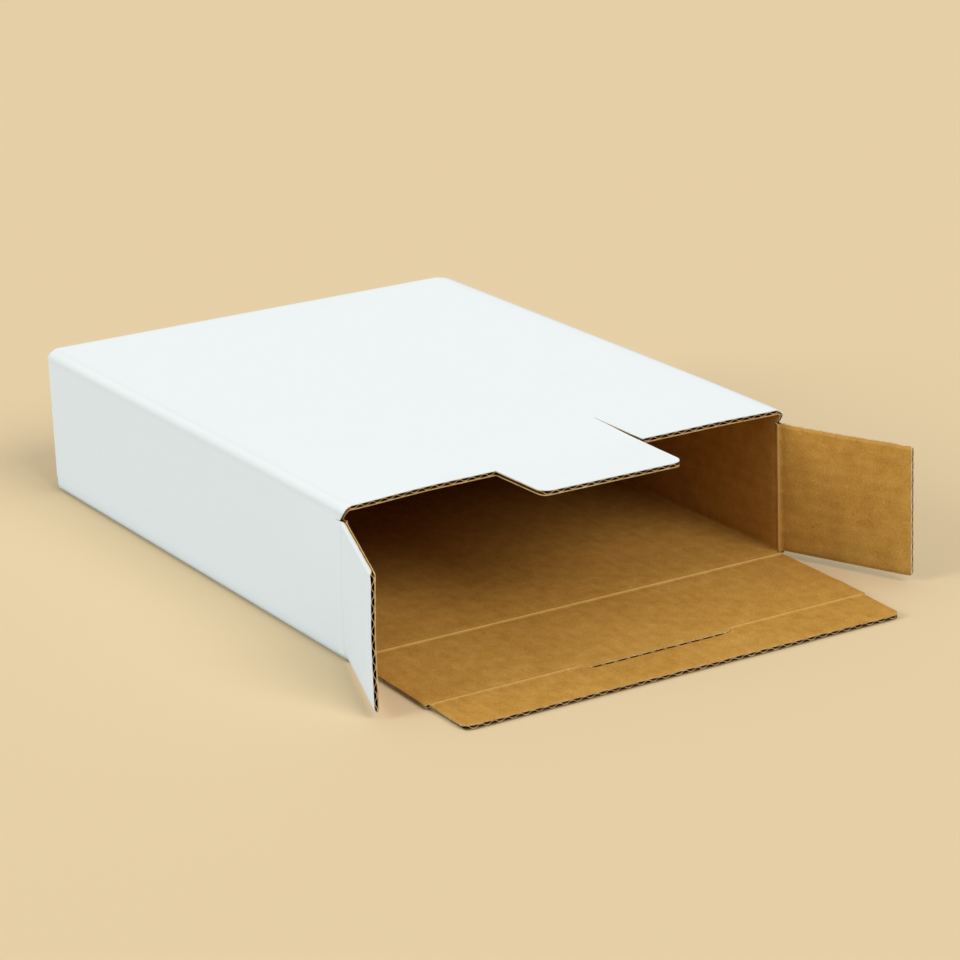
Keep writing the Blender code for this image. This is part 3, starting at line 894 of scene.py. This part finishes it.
def paper(name, colour, dark, light, roughness, mottle, fibre, ribs, bump, gloss=0.08,
          fold_shade_and_bead_colour=None):
    """Paper: soft blotches, fibres, faint ribs over the flutes, and a fine tooth."""
    surface = bpy.data.materials.new(name)
    made = Nodes(surface)
    shader = made.nodes["Principled BSDF"]
    place = made.add("UVMap", {}, uv_map="sheet").outputs["UV"]
    blotch = made.noise(made.stretched(place, (1.0, 0.8, 1.0)), scale=14.0, detail=3.0, rough=0.6)
    cloud = made.noise(place, scale=1.6, detail=2.0)
    grain = made.noise(made.stretched(place, (1.0, 1.5, 1.0)), scale=90.0, detail=3.0, rough=0.7)
    speck = made.noise(place, scale=260.0, detail=1.0)
    dark_fibre = made.fibres(made.stretched(place, (1.0, 1.7, 1.0)), scale=42.0)
    light_fibre = made.fibres(made.stretched(place, (1.6, 1.0, 2.0)), scale=48.0)
    across = made.add("SeparateXYZ", {"Vector": place}).outputs["X"]
    rib = made.math("COSINE", made.math("MULTIPLY", across, 2.0 * math.pi / (PITCH * UV_SCALE)))
    tone = 0.5
    for value, low, high, middle, amount in (
            (blotch, 0.30, 0.70, 0.5, mottle), (cloud, 0.30, 0.70, 0.5, 0.5 * mottle),
            (grain, 0.25, 0.75, 0.5, fibre), (light_fibre, 0.0, 1.0, 0.0, 0.6 * fibre),
            (dark_fibre, 1.0, 0.0, 1.0, 0.8 * fibre)):
        step = made.math("SUBTRACT", made.ramp(value, low, high), middle)
        tone = made.math("MULTIPLY_ADD", step, amount, tone)
    tone = made.math("MULTIPLY_ADD", rib, ribs, tone)
    dark, colour, light = ((*shade, 1.0) for shade in (dark, colour, light))
    below = made.mix(made.ramp(tone, 0.0, 0.5), dark, colour)
    colour_now = made.mix(made.ramp(tone, 0.5, 1.0), below, light)
    # Where the mesh's fold and bead value is high the paper turns to this colour: on the white
    # liner a darker white, painted shade along folds and creases, on the brown liner a lighter
    # brown along the crease beads
    if fold_shade_and_bead_colour:
        weight = made.add("Attribute", {}, attribute_name="fold_shade_and_bead").outputs["Fac"]
        colour_now = made.mix(made.math("MULTIPLY", weight, 0.75), colour_now, (*fold_shade_and_bead_colour, 1.0))
    made.feed(colour_now, shader.inputs["Base Color"])
    made.feed(made.math("MULTIPLY_ADD", blotch, 0.10, roughness - 0.05),
              shader.inputs["Roughness"])
    shader.inputs["Specular IOR Level"].default_value = gloss
    tooth = made.math("MULTIPLY_ADD", speck, 0.25, made.math("MULTIPLY", grain, 0.35))
    height = made.math("MULTIPLY_ADD", rib, 11.0 * ribs, tooth)
    relief = made.add("Bump", {"Strength": bump, "Distance": 0.00025, "Height": height})
    made.feed(relief.outputs["Normal"], shader.inputs["Normal"])
    return surface


def finishes():
    """Face, cut edge and hidden side of each layer.

    The first set is for the carton and the left flap, the second for the closure and its strip,
    whose white side lies down and whose white liner's cut edge is painted dark as shade, and the
    third for the right flap, whose cut edges catch the light: its cut edges and medium get paler
    copies of their colours, painted light.
    """
    wave = dict(roughness=0.90, mottle=0.4, fibre=0.4, ribs=0.0, bump=0.3)
    edge = dict(roughness=0.88, mottle=0.5, fibre=0.6, ribs=0.0, bump=0.4)
    # The white liner's darker fold and bead colour is painted shade along the folds and creases
    white = paper("white_liner", (0.845, 0.878, 0.880), (0.82, 0.858, 0.86), (0.865, 0.90, 0.90),
                  roughness=0.85, mottle=0.22, fibre=0.10, ribs=0.02, bump=0.12, gloss=0.10,
                  fold_shade_and_bead_colour=(0.755, 0.80, 0.795))
    white_cut = paper("white_cut", (0.80, 0.79, 0.74), (0.68, 0.65, 0.58), (0.86, 0.86, 0.83),
                      roughness=0.85, mottle=0.3, fibre=0.4, ribs=0.0, bump=0.3)
    # The brown liner's fold and bead colour makes it lighter along its crease beads
    brown = paper("brown_liner", (0.52, 0.270, 0.052), (0.36, 0.160, 0.024), (0.66, 0.375, 0.095),
                  roughness=0.80, mottle=0.30, fibre=0.46, ribs=0.03, bump=0.45,
                  fold_shade_and_bead_colour=(0.78, 0.52, 0.20))
    brown_cut = paper("brown_cut", (0.60, 0.38, 0.15), (0.42, 0.24, 0.08), (0.74, 0.54, 0.28),
                      roughness=0.88, mottle=0.4, fibre=0.6, ribs=0.0, bump=0.4)
    # Painted shade: the medium is a much darker brown than the board's own kraft, so the flute
    # cells show dark at the cut edges; it also colours the liners' hidden faces
    medium = paper("medium", (0.17, 0.090, 0.030), (0.11, 0.055, 0.017), (0.23, 0.130, 0.046),
                   **wave)
    medium_cut = paper("medium_cut", (0.52, 0.34, 0.15), (0.34, 0.20, 0.08), (0.68, 0.49, 0.26),
                       **edge)
    # Painted shade: the laid-down white liner's cut edge gets a dark brown instead of white, as it
    # lies in shade by the floor
    painted_shade_cut = paper("painted_shade_cut", (0.30, 0.19, 0.09), (0.20, 0.12, 0.05), (0.42, 0.29, 0.15),
                      **edge)
    # Painted light: paler copies of the medium and of the cut edges, for the right flap, so that
    # its cut edges look lit
    painted_light_medium = paper("painted_light_medium", (0.46, 0.30, 0.14), (0.34, 0.21, 0.09),
                        (0.56, 0.39, 0.20), **wave)
    painted_light_cut = paper("painted_light_cut", (0.74, 0.58, 0.36), (0.60, 0.43, 0.22), (0.84, 0.72, 0.52),
                     **edge)
    upright = {"outer_liner": (white, white_cut, medium), "medium": (medium, medium_cut),
               "inner_liner": (brown, brown_cut, medium)}
    # The closure and strip's white cut edge carries painted shade
    laid_down = dict(upright, outer_liner=(white, painted_shade_cut, medium))
    painted_light_flap = {"outer_liner": (white, painted_light_cut, painted_light_medium), "medium": (painted_light_medium, painted_light_cut),
                  "inner_liner": (brown, painted_light_cut, painted_light_medium)}
    return upright, laid_down, painted_light_flap


def dress():
    upright, laid_down, painted_light_flap = finishes()
    pieces = sleeve(upright)
    for piece in pieces + shut_end(upright) + glue_lap(upright):
        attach(piece, "carton")
    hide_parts("carton")

    pieces = tongue(upright)
    for piece in pieces:
        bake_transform(piece)
    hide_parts("locking_tongue")

    pieces = closure(laid_down)
    for piece in pieces:
        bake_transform(piece)
    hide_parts("closure_panel")

    pieces = strip(laid_down)
    for piece in pieces:
        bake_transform(piece)
    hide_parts("tuck_strip")

    pieces = dust_flap("left_dust_flap", -1, LEFT_SPLAY, top_corner=0.0060, low_corner=0.0010,
                       finish=upright)
    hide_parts("left_dust_flap")
    # The right flap takes the set with painted light on its cut edges and medium
    pieces = dust_flap("right_dust_flap", 1, RIGHT_SPLAY, top_corner=0.0012, low_corner=0.0008,
                       finish=painted_light_flap)
    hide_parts("right_dust_flap")


# Floor, light and camera
def floor():
    mesh = bpy.data.meshes.new("floor")
    work = bmesh.new()
    bmesh.ops.create_grid(work, x_segments=1, y_segments=1, size=FLOOR_HALF)
    work.to_mesh(mesh)
    work.free()
    ground = bpy.data.objects.new("floor", mesh)
    bpy.context.scene.collection.objects.link(ground)
    surface = bpy.data.materials.new("floor")
    made = Nodes(surface)
    rays = made.add("LightPath", {}).outputs
    mirrored_ray = made.math("MAXIMUM", rays["Is Glossy Ray"], rays["Is Transmission Ray"])
    seen_ray = made.math("MAXIMUM", rays["Is Camera Ray"], mirrored_ray)
    shader = made.nodes["Principled BSDF"]
    made.feed(made.mix(seen_ray, FLOOR_BOUNCE, FLOOR_COLOUR), shader.inputs["Base Color"])
    shader.inputs["Roughness"].default_value = 0.95
    shader.inputs["Specular IOR Level"].default_value = 0.1
    mesh.materials.append(surface)


def direction(turn, rise):
    """Unit vector, in degrees: turn from the front towards the right, rise over the floor."""
    turn, rise = math.radians(turn), math.radians(rise)
    return Vector((math.sin(turn) * math.cos(rise), -math.cos(turn) * math.cos(rise),
                   math.sin(rise)))


def lamp(name, turn, rise, strength, spread, colour):
    """A wide soft lamp, far off."""
    light = bpy.data.lights.new(name, "SUN")
    light.energy = strength
    light.angle = math.radians(spread)
    light.color = colour
    place = direction(turn, rise)
    holder = bpy.data.objects.new(name, light)
    holder.location = LAMP_DISTANCE * place
    holder.rotation_mode = "QUATERNION"
    holder.rotation_quaternion = (-place).to_track_quat("-Z", "Y")
    bpy.context.scene.collection.objects.link(holder)


def world(colour, level, overhead):
    """Even light from all round, a little stronger from overhead than from the horizon."""
    sky = bpy.data.worlds.new("studio")
    bpy.context.scene.world = sky
    made = Nodes(sky)
    toward = made.add("TexCoord", {}).outputs["Generated"]
    rise = made.add("SeparateXYZ", {"Vector": toward}).outputs["Z"]
    shader = made.nodes["Background"]
    shader.inputs["Color"].default_value = colour
    strength = made.math("MULTIPLY_ADD", made.ramp(rise, 0.0, 0.85), overhead - level, level)
    made.feed(strength, shader.inputs["Strength"])


def camera():
    turn, roll = math.radians(CAMERA_TURN), math.radians(CAMERA_ROLL)
    back = direction(CAMERA_TURN, CAMERA_RISE)
    level = Vector((math.cos(turn), math.sin(turn), 0.0))
    upright = back.cross(level)
    right = level * math.cos(roll) + upright * math.sin(roll)
    up = -level * math.sin(roll) + upright * math.cos(roll)
    aside = (CAMERA_PIXEL[0] - IMAGE_SIZE / 2) / CAMERA_FOCAL * CAMERA_DISTANCE
    above = -(CAMERA_PIXEL[1] - IMAGE_SIZE / 2) / CAMERA_FOCAL * CAMERA_DISTANCE
    place = back * CAMERA_DISTANCE - right * aside - up * above
    data = bpy.data.cameras.new("camera")
    data.sensor_width = SENSOR
    data.lens = CAMERA_FOCAL / IMAGE_SIZE * SENSOR
    data.clip_start, data.clip_end = 0.05, 50.0
    holder = bpy.data.objects.new("camera", data)
    holder.matrix_world = Matrix((
        (right.x, up.x, back.x, place.x), (right.y, up.y, back.y, place.y),
        (right.z, up.z, back.z, place.z), (0, 0, 0, 1)))
    bpy.context.scene.collection.objects.link(holder)
    bpy.context.scene.camera = holder


dress()
floor()
lamp("front", turn=8.0, rise=37.0, strength=1.55, spread=34.0, colour=(1.0, 0.985, 0.96))
lamp("left", turn=-98.0, rise=24.0, strength=1.42, spread=30.0, colour=(0.95, 1.0, 0.975))
world(colour=(0.97, 0.985, 1.0, 1.0), level=0.24, overhead=0.67)
camera()
bpy.context.scene.view_settings.view_transform = "Standard"
